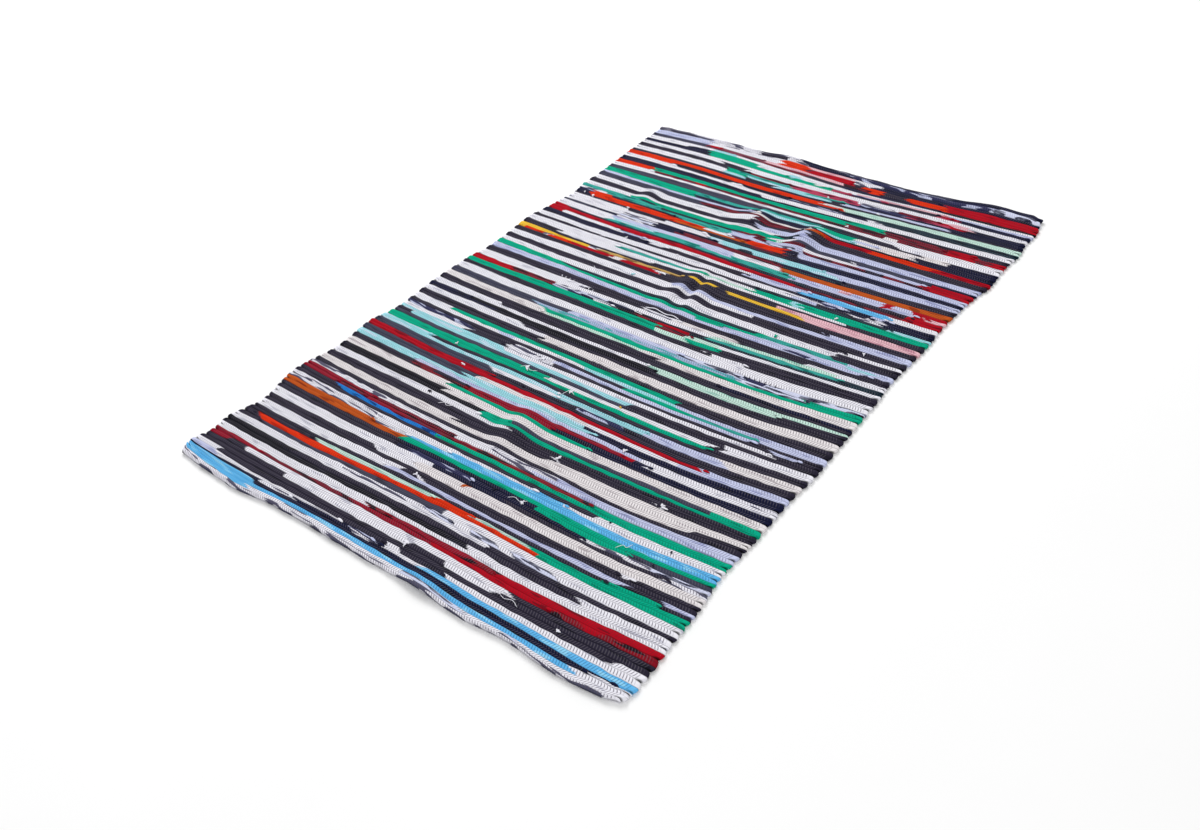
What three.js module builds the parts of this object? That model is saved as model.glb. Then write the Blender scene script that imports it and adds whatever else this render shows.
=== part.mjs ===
// Rag rug in weft-faced plain weave, lying on a floor with a few wrinkles in it.
// Millimetres, +Z up. X runs across the rug, along its ribs, and Y runs along its length, front to back.
// The origin is on the floor under the middle of the rug.
import * as THREE from 'three';

// Driving sizes
const WIDTH = 900;
const LENGTH = 1400;
// Each rib is one row of rag weft, beaten down over the thin warp.
const RIBS = 182;
const RIB_TOP = 6;
const RIB_VALLEY = 4.1;
const RIB_UNEVEN = 0.45;
// Both ends are turned under once, which makes the last ribs thicker.
const HEM_RIBS = 2;
const HEM_TOP = 8.6;
const HEM_VALLEY = 7.2;
// A side edge is a row of rounded loops, each the turn of one rag strip from a rib into the next.
const RIBS_PER_LOOP = 2;
const LOOP_DEPTH = 3;
const EDGE_HEIGHT = 3.1;
const UNDERSIDE_INSET = LOOP_DEPTH + 1;

// The rows of points run along the tops of the ribs and along the valleys between them.
const ROWS_PER_RIB = 2;
const ROWS = RIBS * ROWS_PER_RIB;
// The underside needs fewer rows: close together under a wrinkle, and far apart where it lies flat.
const UNDERSIDE_STEP = 4;
const FLAT_STEP = 16;
// Columns of points, as fractions of the width. They are close together at the selvedges and the wrinkles.
const COLUMNS = [0, 0.012, 0.17, 0.3, 0.43, 0.487, 0.508, 0.53, 0.57, 0.605, 0.66, 0.8, 0.988, 1];

// How far each long side stands out past a straight line, at fractions of the length.
const SIDES = [
  { at: 0, left: -9, right: 4 },
  { at: 0.012, left: 0, right: 9 },
  { at: 0.03, left: 3, right: 11 },
  { at: 0.05, left: -6, right: 10 },
  { at: 0.08, left: 1, right: 6 },
  { at: 0.12, left: -14, right: 4 },
  { at: 0.18, left: 7, right: -5 },
  { at: 0.25, left: -5, right: -2 },
  { at: 0.31, left: 5, right: -3 },
  { at: 0.36, left: -6, right: 2 },
  { at: 0.43, left: 2, right: -1 },
  { at: 0.49, left: 2, right: -3 },
  { at: 0.54, left: -6, right: -7 },
  { at: 0.64, left: 4, right: -1 },
  { at: 0.68, left: -6, right: -3 },
  { at: 0.73, left: -13, right: 0 },
  { at: 0.77, left: -5, right: 6 },
  { at: 0.8, left: -5, right: 14 },
  { at: 0.86, left: -1, right: 12 },
  { at: 0.89, left: 2, right: 17 },
  { at: 0.93, left: 4, right: 12 },
  { at: 0.97, left: 6, right: 15 },
  { at: 1, left: 5, right: 6 },
];

// How far each end stands out past a straight line, at fractions of the width.
const ENDS = [
  { at: 0, front: -9, back: -8 },
  { at: 0.02, front: 0, back: -5 },
  { at: 0.1, front: 6, back: -4 },
  { at: 0.17, front: 8, back: -3 },
  { at: 0.3, front: -1, back: -9 },
  { at: 0.38, front: -3, back: 1 },
  { at: 0.5, front: 0, back: -10 },
  { at: 0.6, front: 2, back: -12 },
  { at: 0.7, front: 5, back: -16 },
  { at: 0.8, front: 0, back: -9 },
  { at: 0.9, front: 7, back: 6 },
  { at: 0.98, front: 1, back: 2 },
  { at: 1, front: -4, back: -6 },
];

// Wrinkles that lift the cloth off the floor. Places are fractions of the width and the length.
// A crest is long along its own line, which leans this many degrees from +Y towards +X.
// Each wrinkle falls away over its own distance on its left and on its right.
const WRINKLES = [
  { name: 'hem hump', across: 0.615, along: 0, lean: 0, long: 130, left: 60, right: 70, lift: 6 },
  { name: 'front swell', across: 0.492, along: 0.245, lean: -7, long: 210, left: 42, right: 56, lift: 10 },
  { name: 'middle left crest', across: 0.487, along: 0.597, lean: 5, long: 220, left: 38, right: 22, lift: 9 },
  { name: 'middle right crest', across: 0.53, along: 0.59, lean: -4, long: 190, left: 18, right: 38, lift: 9 },
  { name: 'back left crest', across: 0.467, along: 0.798, lean: 10, long: 120, left: 75, right: 36, lift: 11 },
  { name: 'back ridge', across: 0.605, along: 0.787, lean: 11, long: 150, left: 40, right: 54, lift: 15 },
];

// Value of one column of a table between its rows, eased from each row to the next.
function tableValue(table, column, at) {
  const upper = Math.max(1, table.findIndex((row) => row.at >= at));
  const [before, after] = [table[upper - 1], table[upper]];
  const share = THREE.MathUtils.smoothstep(at, before.at, after.at);
  return THREE.MathUtils.lerp(before[column], after[column], share);
}

// A smooth hump that is 1 in the middle and 0 from -1 and 1 outwards.
function hump(t) {
  return Math.abs(t) < 1 ? 0.5 + 0.5 * Math.cos(Math.PI * t) : 0;
}

// Height of the cloth's underside over the floor.
function liftAt(x, y) {
  let total = 0;
  for (const wrinkle of WRINKLES) {
    const lean = THREE.MathUtils.degToRad(wrinkle.lean);
    const dx = x - (wrinkle.across - 0.5) * WIDTH;
    const dy = y - (wrinkle.along - 0.5) * LENGTH;
    const alongCrest = dx * Math.sin(lean) + dy * Math.cos(lean);
    const fromCrest = dx * Math.cos(lean) - dy * Math.sin(lean);
    const reach = fromCrest < 0 ? wrinkle.left : wrinkle.right;
    total += wrinkle.lift * hump(alongCrest / (wrinkle.long / 2)) * hump(fromCrest / reach);
  }
  return total;
}

// Plan position of a point, from its shares of the width and the length.
function planPoint(across, along) {
  const left = -WIDTH / 2 - tableValue(SIDES, 'left', along);
  const right = WIDTH / 2 + tableValue(SIDES, 'right', along);
  const front = -LENGTH / 2 - tableValue(ENDS, 'front', across);
  const back = LENGTH / 2 + tableValue(ENDS, 'back', across);
  return [THREE.MathUtils.lerp(left, right, across), THREE.MathUtils.lerp(front, back, along)];
}

// How far a selvedge point is drawn in, because it lies between two loops.
// A strip turns back on the other side one rib later, so the two sides are a rib out of step.
function loopInset(row, ribsOutOfStep) {
  const rib = row / ROWS_PER_RIB + ribsOutOfStep;
  return LOOP_DEPTH * (0.5 + 0.5 * Math.cos((2 * Math.PI * rib) / RIBS_PER_LOOP));
}

// Thickness of the cloth at a row, before the wrinkles lift it.
function thicknessAt(row, column) {
  const isTop = row % ROWS_PER_RIB === 1;
  const ribsFromEnd = Math.min(row, ROWS - row) / ROWS_PER_RIB;
  if (ribsFromEnd < HEM_RIBS) {
    return isTop ? HEM_TOP : HEM_VALLEY;
  }
  const uneven = RIB_UNEVEN * Math.sin(row * 1.7 + column * 2.3) * Math.cos(row * 0.61 - column);
  return (isTop ? RIB_TOP : RIB_VALLEY) + uneven;
}

function topPoint(row, column) {
  const [x, y] = planPoint(COLUMNS[column], row / ROWS);
  const lift = liftAt(x, y);
  if (column === 0) {
    return [x + loopInset(row, 0), y, lift + EDGE_HEIGHT];
  }
  if (column === COLUMNS.length - 1) {
    return [x - loopInset(row, 1), y, lift + EDGE_HEIGHT];
  }
  const atEnd = row === 0 || row === ROWS;
  return [x, y, lift + (atEnd ? EDGE_HEIGHT : thicknessAt(row, column))];
}

function undersidePoint(row, column) {
  const [x, y] = planPoint(COLUMNS[column], row / ROWS);
  const intoX = column === 0 ? UNDERSIDE_INSET : column === COLUMNS.length - 1 ? -UNDERSIDE_INSET : 0;
  const intoY = row === 0 ? UNDERSIDE_INSET : row === ROWS ? -UNDERSIDE_INSET : 0;
  return [x + intoX, y + intoY, liftAt(x, y)];
}

// Every fourth row where any column is lifted near it, and every sixteenth row elsewhere.
function undersideRows() {
  const isLifted = (row) => COLUMNS.some((across) => liftAt(...planPoint(across, row / ROWS)) > 0);
  const rows = [];
  for (let row = 0; row < ROWS; row += UNDERSIDE_STEP) {
    const nearby = [row - UNDERSIDE_STEP, row, row + UNDERSIDE_STEP];
    if (row % FLAT_STEP === 0 || nearby.some((near) => isLifted(THREE.MathUtils.clamp(near, 0, ROWS)))) {
      rows.push(row);
    }
  }
  return [...rows, ROWS];
}

// Adds a grid of points to the list and returns their numbers, row by row.
function addGrid(points, rows, pointAt) {
  return rows.map((row) => COLUMNS.map((_, column) => points.push(pointAt(row, column)) - 1));
}

// Two triangles for each cell of a grid. Turned over, they face down.
function fillGrid(triangles, grid, turnedOver) {
  for (let i = 0; i + 1 < grid.length; i += 1) {
    for (let j = 0; j + 1 < COLUMNS.length; j += 1) {
      const [a, b, c, d] = [grid[i][j], grid[i][j + 1], grid[i + 1][j + 1], grid[i + 1][j]];
      triangles.push(...(turnedOver ? [[a, c, b], [a, d, c]] : [[a, b, c], [a, c, d]]));
    }
  }
}

// Closes the wall between two lines of points that run the same way but have different counts.
// Each line is a list of { number, at }. The wall faces left of the lines' direction, seen from above.
function zip(triangles, upper, lower) {
  let [i, j] = [0, 0];
  while (i + 1 < upper.length || j + 1 < lower.length) {
    const stepUpper = j + 1 >= lower.length || (i + 1 < upper.length && upper[i + 1].at <= lower[j + 1].at);
    if (stepUpper) {
      triangles.push([upper[i].number, upper[i + 1].number, lower[j].number]);
      i += 1;
    } else {
      triangles.push([lower[j].number, upper[i].number, lower[j + 1].number]);
      j += 1;
    }
  }
}

// The woven cloth with its two turned ends, as one closed solid.
function rugGeometry() {
  const points = [];
  const triangles = [];
  const topRows = Array.from({ length: ROWS + 1 }, (_, row) => row);
  const lowerRows = undersideRows();
  const top = addGrid(points, topRows, topPoint);
  const underside = addGrid(points, lowerRows, undersidePoint);
  fillGrid(triangles, top, false);
  fillGrid(triangles, underside, true);

  const last = COLUMNS.length - 1;
  const side = (grid, rows, column) => rows.map((row, i) => ({ number: grid[i][column], at: row }));
  const end = (gridRow) => gridRow.map((number, column) => ({ number, at: column }));
  zip(triangles, side(top, topRows, 0), side(underside, lowerRows, 0));
  zip(triangles, end(top[ROWS]), end(underside[lowerRows.length - 1]));
  // The other two walls face the other way, so their lines are walked backwards.
  const backwards = (line) => line.map(({ number, at }) => ({ number, at: -at })).reverse();
  zip(triangles, backwards(side(top, topRows, last)), backwards(side(underside, lowerRows, last)));
  zip(triangles, backwards(end(top[0])), backwards(end(underside[0])));

  const geometry = new THREE.BufferGeometry();
  geometry.setAttribute('position', new THREE.Float32BufferAttribute(points.flat(), 3));
  geometry.setIndex(triangles.flat());
  geometry.computeBoundingBox();
  const middle = geometry.boundingBox.getCenter(new THREE.Vector3());
  geometry.translate(-middle.x, -middle.y, 0);
  geometry.computeVertexNormals();
  return geometry;
}

// Worn cotton rags: matt, and on the whole a cool grey between the dark and the white strips.
const cotton = new THREE.MeshStandardMaterial({ color: 0x85858f, roughness: 0.93, metalness: 0 });

const rug = new THREE.Mesh(rugGeometry(), cotton);
rug.name = 'rug';

const part = new THREE.Group();
part.add(rug);

export default part;
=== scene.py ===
# %% [markdown]
# A rag rug is woven from torn strips of old cotton. Thin warp threads run along its length, and each rag
# strip is beaten down over them, so a rug like this is a stack of soft ribs side by side.
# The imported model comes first, because every piece here rides on its body and stays in its box.

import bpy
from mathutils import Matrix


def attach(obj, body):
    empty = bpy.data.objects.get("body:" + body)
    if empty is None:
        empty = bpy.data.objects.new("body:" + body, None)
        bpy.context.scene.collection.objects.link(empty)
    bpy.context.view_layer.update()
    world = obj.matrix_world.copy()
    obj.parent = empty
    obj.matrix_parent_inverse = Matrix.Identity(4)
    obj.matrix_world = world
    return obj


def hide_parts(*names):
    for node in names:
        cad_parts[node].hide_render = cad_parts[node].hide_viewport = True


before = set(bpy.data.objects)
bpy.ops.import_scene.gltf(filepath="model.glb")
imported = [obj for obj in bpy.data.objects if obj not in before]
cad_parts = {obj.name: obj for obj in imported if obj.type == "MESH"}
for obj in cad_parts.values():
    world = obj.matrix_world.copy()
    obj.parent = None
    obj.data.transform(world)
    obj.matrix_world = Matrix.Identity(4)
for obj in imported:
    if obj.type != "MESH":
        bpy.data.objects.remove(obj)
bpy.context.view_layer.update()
print("nodes:", sorted(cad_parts))

# %% [markdown]
# The cloth has some 300,000 points, too many to place one by one in a Python loop. So numpy works out whole
# rows of them at once, and bmesh operators make the faces.

# %% Tools
import math

import bmesh
import bpy
import numpy as np
from mathutils import Vector

MM = 0.001
SEED = 20


def add_object(name, data):
    """An object at the origin, linked to the scene."""
    thing = bpy.data.objects.new(name, data)
    bpy.context.collection.objects.link(thing)
    return thing


print("Blender", bpy.app.version_string)

# %% [markdown]
# The rug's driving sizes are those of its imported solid. A pick is one row of rag weft, and it makes one rib.
# The warp threads lie 2.3 mm apart, and every second one shows as a fine groove across each rib.
# The solid is packed around the middle of its box, so every point here is moved by that middle too.

# %% Driving sizes, in metres
WIDTH = 0.900
LENGTH = 1.400
PICKS = 182
PICK = LENGTH / PICKS
WARPS = 390
BOX_MIDDLE = (0.0050062, -0.0044080)
CROWN = 6.0 * MM
VALLEY = 4.3 * MM
HEM_CROWN = 8.6 * MM
HEM_VALLEY = 7.4 * MM
HEM_PICKS = 2
GROOVE = 0.55 * MM
LOOP_DEPTH = 5.0 * MM
EDGE_ROUND = 3.0 * MM
print("pick", round(PICK / MM, 2), "mm, warp", round(WIDTH / WARPS / MM, 2), "mm")

# %% [markdown]
# Nothing on a handmade rug is straight. Its outline and its wrinkles are given in small tables, and
# values between two rows of a table are eased so that no kink shows. A cloth simulation could wrinkle the
# rug too, but not in the places where the photo has its wrinkles. The outline and the first six wrinkles
# are the imported solid's own. The last three are too faint for the solid, so only this fine cloth has them.

# %% Outline: how far each edge stands out past a straight line, in millimetres
SIDES = [
    (0, -9, 4), (0.012, 0, 9), (0.03, 3, 11), (0.05, -6, 10), (0.08, 1, 6), (0.12, -14, 4),
    (0.18, 7, -5), (0.25, -5, -2), (0.31, 5, -3), (0.36, -6, 2), (0.43, 2, -1), (0.49, 2, -3),
    (0.54, -6, -7), (0.64, 4, -1), (0.68, -6, -3), (0.73, -13, 0), (0.77, -5, 6), (0.8, -5, 14),
    (0.86, -1, 12), (0.89, 2, 17), (0.93, 4, 12), (0.97, 6, 15), (1, 5, 6),
]
ENDS = [
    (0, -9, -8), (0.02, 0, -5), (0.1, 6, -4), (0.17, 8, -3), (0.3, -1, -9), (0.38, -3, 1),
    (0.5, 0, -10), (0.6, 2, -12), (0.7, 5, -16), (0.8, 0, -9), (0.9, 7, 6), (0.98, 1, 2), (1, -4, -6),
]


def eased(rows, column, at):
    """One column of a table at the places asked for, eased from each row to the next."""
    places, values = (np.array([row[i] for row in rows], float) for i in (0, column))
    after = np.clip(np.searchsorted(places, at), 1, len(places) - 1)
    share = np.clip((at - places[after - 1]) / (places[after] - places[after - 1]), 0, 1)
    share = share * share * (3 - 2 * share)
    return values[after - 1] * (1 - share) + values[after] * share


print("left edge at the middle:", eased(SIDES, 1, np.array([0.5]))[0], "mm out")

# %% Wrinkles: across, along, lean, long, left, right, lift (shares, degrees and millimetres)
WRINKLES = [
    (0.615, 0, 0, 130, 60, 70, 6),
    (0.492, 0.245, -7, 210, 42, 56, 10),
    (0.487, 0.597, 5, 220, 38, 22, 9),
    (0.53, 0.59, -4, 190, 18, 38, 9),
    (0.467, 0.798, 10, 120, 75, 36, 11),
    (0.605, 0.787, 11, 150, 40, 54, 15),
    (0.19, 0.785, 4, 90, 36, 36, 8),
    (0.505, 0.765, 6, 70, 16, 20, 3),
    (0.548, 0.298, -4, 80, 24, 28, 3),
]


def hump(t):
    """A smooth hump: 1 in the middle, 0 from -1 and 1 outwards."""
    return np.where(np.abs(t) < 1, 0.5 + 0.5 * np.cos(np.pi * np.clip(t, -1, 1)), 0)


def lift(x, y):
    """Height of the cloth's underside over the floor."""
    total = np.zeros(np.broadcast(x, y).shape)
    for across, along, lean, long, left, right, rise in WRINKLES:
        turn = math.radians(lean)
        dx = x - (across - 0.5) * WIDTH
        dy = y - (along - 0.5) * LENGTH
        on_crest = dx * math.sin(turn) + dy * math.cos(turn)
        off_crest = dx * math.cos(turn) - dy * math.sin(turn)
        reach = np.where(off_crest < 0, left, right) * MM
        total += rise * MM * hump(on_crest / (long * MM / 2)) * hump(off_crest / reach)
    return total


print("highest wrinkle", max(row[-1] for row in WRINKLES), "mm")

# %% [markdown]
# The weaver doesn't beat every pick home alike, so the stripes rise and fall. Straight, even ribs would look
# like a machine's. Each line below is one guide: the number of a pick, then where its lower edge lies at six
# places across the rug, in thousandths of the charted length. Picks between two guides are spread evenly, and
# a smooth curve runs through the six places.

# %% Where the picks lie
STATIONS = 6
CHARTED = 1.405
GUIDES = """
0 0 0 0 0 0 0
1 8 4 4 4 2 3
2 12.5 9.5 9.5 9.5 6 9
3 15.5 13.5 15 14.5 11.5 13.5
4 18.5 18 18.5 18.5 15.5 15.5
5 20.5 21.5 23.5 20.5 18.5 16.5
6 27 24.5 26 25.5 24 25
8 38.5 37.5 37.5 37 36.5 40
10 51.5 50 51 51 48.5 53
11 57.5 54.5 56.5 56.5 55 61
12 61.5 59.5 61 62.5 62.5 69.5
13 65.5 64 67 67.5 67 74.5
14 72.5 70.5 73.5 73.5 71.5 78.5
15 79.5 77 80 80 78.5 84.5
17 88 88 90.5 91.5 91.5 96
18 94 92.5 97 100 98 102
19 102 100 102.5 105 103 108
20 107 105 108.5 109 107 113.5
22 117 115.5 119 117 118 122.5
24 129 127.5 129 128 127 133
26 142.5 140 141 140.5 138.5 144.5
28 155.5 151.5 153 152.5 148 156
30 167.5 163.5 164.5 163 160.5 166.5
31 173 168.5 168.5 169 165.5 171.5
32 178.5 174 173 173.5 170 176
33 185 180 177.5 175.5 175 180
35 197 190.5 188 187.5 185.5 190
37 208 200 198.5 198.5 196 203
39 220 213.5 209.5 209 205 218.5
40 223 217 213.5 214 211 222
42 230 224 221 223.5 223.5 230
44 240.5 238 234 231 233 237
46 250.5 247.5 243.5 241.5 242.5 245.5
48 263 259.5 256.5 252.5 254 257
50 274.5 270.5 266.5 262.5 263.5 268.5
51 279.5 275 271 269.5 268 274
53 291.5 285 281 281 278.5 285
55 302.5 296 291.5 290 288 298.5
57 313.5 306 304.5 301 299 308
59 324 316.5 314 312.5 311 320
61 333 327.5 326.5 320.5 322 332
63 344 338 336.5 334 333.5 342
65 357 351 348.5 345.5 346 353
67 367.5 362.5 361 358 358.5 364
69 381 375 373.5 368.5 368 373.5
71 394 387 383.5 379 378 384
73 405 400 396.5 392 390 399
75 416.5 412 408.5 405.5 403 414
77 426.5 422 418.5 416 414.5 424
79 437.5 432.5 428.5 426.5 425 433.5
81 449 442.5 440.5 437.5 438 443.5
83 460.5 454 450.5 448 448.5 457
85 472 466 464 460.5 460 470.5
87 486 478.5 476 472.5 474 484.5
88 493 485.5 482.5 478.5 483 492.5
90 499.5 496.5 493.5 488.5 496 501.5
92 509 507 505.5 503.5 507 514
93 515 511.5 510 508 511 518.5
94 520 516 514.5 512 517 522.5
95 527.5 523 522 518 522 527
96 534.5 530.5 527.5 524.5 526.5 531.5
98 547 544.5 538 533.5 535 538.5
99 553 549.5 543 538.5 541 543.5
100 558.5 554.5 547 542.5 546.5 548.5
101 564.5 558.5 553 547.5 550 553
102 570.5 563 559 554 553.5 557.5
104 579 574 571 567.5 564 566.5
106 590 585 581 577.5 576.5 578
107 595.5 591.5 586.5 583 582 584
108 602 598.5 594 589.5 589 590.5
110 611.5 606.5 603 602.5 599 601.5
111 618 612.5 610.5 608.5 604 606
112 624.5 618 616 614 611 611.5
113 631 622 621 619 618 616.5
114 637 628 625.5 624.5 621 622
115 641 634 631 629.5 625 627.5
116 645 640 637 633 631.5 632.5
117 649.5 645.5 643 638 638 637.5
118 656.5 650 647.5 644.5 643.5 642.5
120 666.5 660 659 654 653 652.5
122 678 671 668 664 662.5 662.5
123 686 677 675 668.5 667.5 667.5
124 693.5 685.5 684 676 672.5 674
125 698 689.5 687.5 682 680 680.5
127 706.5 699.5 697 692.5 692 694.5
128 711 706 706 701.5 701.5 705
130 721.5 717 714.5 711 712.5 716.5
131 727 722.5 720 716.5 719 721.5
132 732 728 726 722 725 726
134 740.5 736.5 733 733.5 736.5 733.5
136 751 748.5 742.5 745.5 746.5 744
138 760 756.5 753 757 758 756
140 768.5 764.5 762 766 766 765
142 779 773.5 771.5 778 778 776.5
144 791.5 784 781 789.5 787 785
146 802.5 797 796 799.5 796.5 794
148 815 808.5 806 806 805 803
149 821.5 814 811 811 809.5 808
151 832.5 829.5 824.5 822.5 818.5 819
152 837.5 836.5 831 828 823 824.5
153 842.5 843 837.5 833.5 830 832
154 847.5 848 843.5 839.5 838.5 840.5
155 852 854 849 846 845 846
157 864 863.5 857.5 857 857 856
158 870.5 869.5 861.5 860.5 861 861
159 878 875.5 866 865.5 866.5 867.5
160 884 882 873.5 870 872 873.5
161 888 886.5 877.5 876 878 879
162 892 890.5 881 880.5 884 884.5
164 899.5 899.5 891 890 894.5 895
165 907.5 906 896.5 896 899 900
167 919.5 919 907 906 908.5 910
169 931 929 918.5 917.5 918.5 918.5
171 940 940 931 926.5 928.5 926.5
173 949 952 940 934 937 935
175 961 963 952.5 942 944 944.5
176 966 968 959.5 949.5 949.5 949
178 976 978 971 964 963 963.5
180 986 987.5 983 978 974 978.5
182 995.5 995.5 995 989.5 991.5 999.5
"""
guide_rows = np.array([line.split() for line in GUIDES.split("\n") if line], float)


def pick_line(pick, across):
    """Length coordinate of pick edges, for a column of picks and a grid of places across."""
    at = [np.interp(pick, guide_rows[:, 0], column) for column in guide_rows[:, 1:].T]
    at = np.stack([2 * at[0] - at[1], *at, 2 * at[-1] - at[-2]], 1)
    place = np.clip(across, 0, 0.99999) * (STATIONS - 1)
    first = place.astype(int)
    t = place - first
    row = np.arange(len(pick))[:, None]
    a, b, c, d = (at[row, first + k] for k in range(4))
    curve = b + 0.5 * t * (c - a + t * (2 * a - 5 * b + 4 * c - d + t * (3 * (b - c) + d - a)))
    return curve * CHARTED / 1000 - LENGTH / 2


print(len(guide_rows), "guides for", PICKS, "picks")

# %% [markdown]
# Rags differ in width, thickness and crumple. A noise texture on a Displace modifier could roughen the cloth,
# but it knows nothing of picks. Instead, seeded noise drifts slowly along each pick. It makes the ribs swell
# and thin, and lets their lines wander by a fraction of a millimetre, the same in every run.

# %% Unevenness: sizes in millimetres, each with the metres from swell to swell
CROWN_SWELLS = ((0.38, 0.045), (0.16, 0.012))
VALLEY_SWELLS = ((0.2, 0.05),)
LINE_SWELLS = ((0.45, 0.07), (0.4, 0.018))
HEM_SWELLS = ((0.7, 0.045), (0.5, 0.02))
chance = np.random.default_rng(SEED)


def drift(rows, wave):
    """Smooth noise along each row of warps, about wave metres from swell to swell."""
    knots = int(WIDTH / wave) + 3
    values = chance.normal(size=(rows, knots))
    at = np.linspace(0, knots - 1.001, WARPS + 1) + 0 * values[:, :1]
    first = at.astype(int)
    share = at - first
    share = share * share * (3 - 2 * share)
    line = np.arange(rows)[:, None]
    return values[line, first] * (1 - share) + values[line, np.minimum(first + 1, knots - 1)] * share


def unevenness(rows, swells):
    """The swells of a few sizes together."""
    return sum(size * MM * drift(rows, wave) for size, wave in swells)


crown_noise = unevenness(PICKS, CROWN_SWELLS)
valley_noise = unevenness(PICKS + 1, VALLEY_SWELLS)
line_noise = unevenness(PICKS + 1, LINE_SWELLS)
hem_noise = unevenness(2, HEM_SWELLS)
print("crowns vary by", round(float(crown_noise.std() / MM), 2), "mm")

# %% [markdown]
# Each rib is a row of points in its valley, one on its crown and one on either shoulder, which is the least
# that looks round. At the two ends of the rug the cloth is turned under once, so the last two picks are
# thicker and roll down to the floor.

# %% Rows of points
STEPS = (0, 0.22, 0.5, 0.78)
ROLL = [math.radians(a) for a in (2, 15, 32, 50, 70, 90)]
ROLL_REACH = HEM_CROWN / 2 / PICK
ROLL_CLEAR = 0.1


def row_places(first, last):
    """Pick coordinates of the rows from one pick to another, and how far each row is opened out."""
    rows = [(pick + step, 1.0) for pick in range(first, last) for step in STEPS] + [(last, 1.0)]
    if first == 0:
        roll = [(ROLL_REACH * (1 - math.cos(a)), math.sin(a)) for a in ROLL]
        rows = roll + [row for row in rows if row[0] > ROLL_REACH + ROLL_CLEAR]
    if last == PICKS:
        roll = [(PICKS - ROLL_REACH * (1 - math.cos(a)), math.sin(a)) for a in reversed(ROLL)]
        rows = [row for row in rows if row[0] < PICKS - ROLL_REACH - ROLL_CLEAR] + roll
    return np.array(rows).T


print("rows in the first band:", row_places(0, 36).shape[1])

# %% Thickness of the cloth
RIB_ROUNDNESS = 0.72
HEM_GROOVE_SHARE = 0.3


def is_hem(pick):
    """Whether a pick is in one of the turned ends."""
    return (pick < HEM_PICKS) | (pick >= PICKS - HEM_PICKS)


def valley_of(edge):
    """Height of the valley at a pick's edge."""
    in_hem = (edge < HEM_PICKS) | (edge > PICKS - HEM_PICKS)
    return np.where(in_hem, HEM_VALLEY, VALLEY)


def thickness(place):
    """Thickness of the cloth along each row, for a column of pick coordinates."""
    pick = np.clip(np.floor(place).astype(int), 0, PICKS - 1)
    step = (place - pick)[:, None]
    low = (valley_of(pick)[:, None] + valley_noise[pick]) * (1 - step)
    low = low + (valley_of(pick + 1)[:, None] + valley_noise[pick + 1]) * step
    high = np.where(is_hem(pick), HEM_CROWN, CROWN)[:, None] + crown_noise[pick]
    round_top = np.sin(np.pi * np.clip(step, 0, 1)) ** RIB_ROUNDNESS
    grooved = (np.arange(WARPS + 1) + pick[:, None]) % 2 == 0
    groove = GROOVE * grooved * np.where(is_hem(pick), HEM_GROOVE_SHARE, 1)[:, None]
    return low + (high - low - groove) * round_top


print("thinnest row", round(float(thickness(np.array([60.0])).min() / MM), 1), "mm")

# %% [markdown]
# A side edge is a selvedge: each strip turns round the last warp and goes back as the next pick, so the edge
# is a row of soft loops two picks long. The two sides are one pick out of step. The loops belong to the same
# rows of points as the ribs, so they need no mesh of their own.

# %% Lines of the cloth, seen from above
LOOP_ROUNDNESS = 0.5
END_PICKS = 7
END_PULL = 1.5
CALM_PICKS = 4
LUMP_PICKS = 3


def loop_inset(place, out_of_step):
    """How far the edge draws in between two loops."""
    round_loop = np.abs(np.sin(np.pi * (place + out_of_step) / 2)) ** LOOP_ROUNDNESS
    return LOOP_DEPTH * (1 - round_loop)


def plan_y(place, x):
    """Length coordinate of points on rows at these pick coordinates. The outline rules the last picks."""
    across = np.clip(x / WIDTH + 0.5, 0, 1)
    lines = pick_line(place, across)
    front = -LENGTH / 2 - eased(ENDS, 1, across) * MM
    back = LENGTH / 2 + eased(ENDS, 2, across) * MM
    for end, number in ((front, 0), (back, PICKS)):
        pull = np.clip(1 - np.abs(place - number) / END_PICKS, 0, 1)[:, None] ** END_PULL
        lines = lines + pull * (end - pick_line(np.full(len(place), float(number)), across))
    row = np.arange(len(place))[:, None]
    warp = np.rint(across * WARPS).astype(int)
    edge = np.clip(place, 0, PICKS)
    low = np.minimum(edge.astype(int), PICKS - 1)
    share = (edge - low)[:, None]
    wander = line_noise[low] * (1 - share) + line_noise[low + 1] * share
    from_end = np.minimum(place, PICKS - place)[:, None]
    calm = np.clip(from_end / CALM_PICKS, 0, 1)
    lumps = hem_noise[(place > PICKS / 2).astype(int)] * np.clip(1 - from_end / LUMP_PICKS, 0, 1)
    return lines + calm * wander[row, warp] + lumps[row, warp]


print("the edge draws in by", LOOP_DEPTH / MM, "mm between loops")

# %% Points of one band of cloth
UNDER_COLUMNS = 40
UNDER_RIB = 0.7 * MM
TURN = [math.radians(a) for a in (60, 30, 0, -30, -60)]


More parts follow.
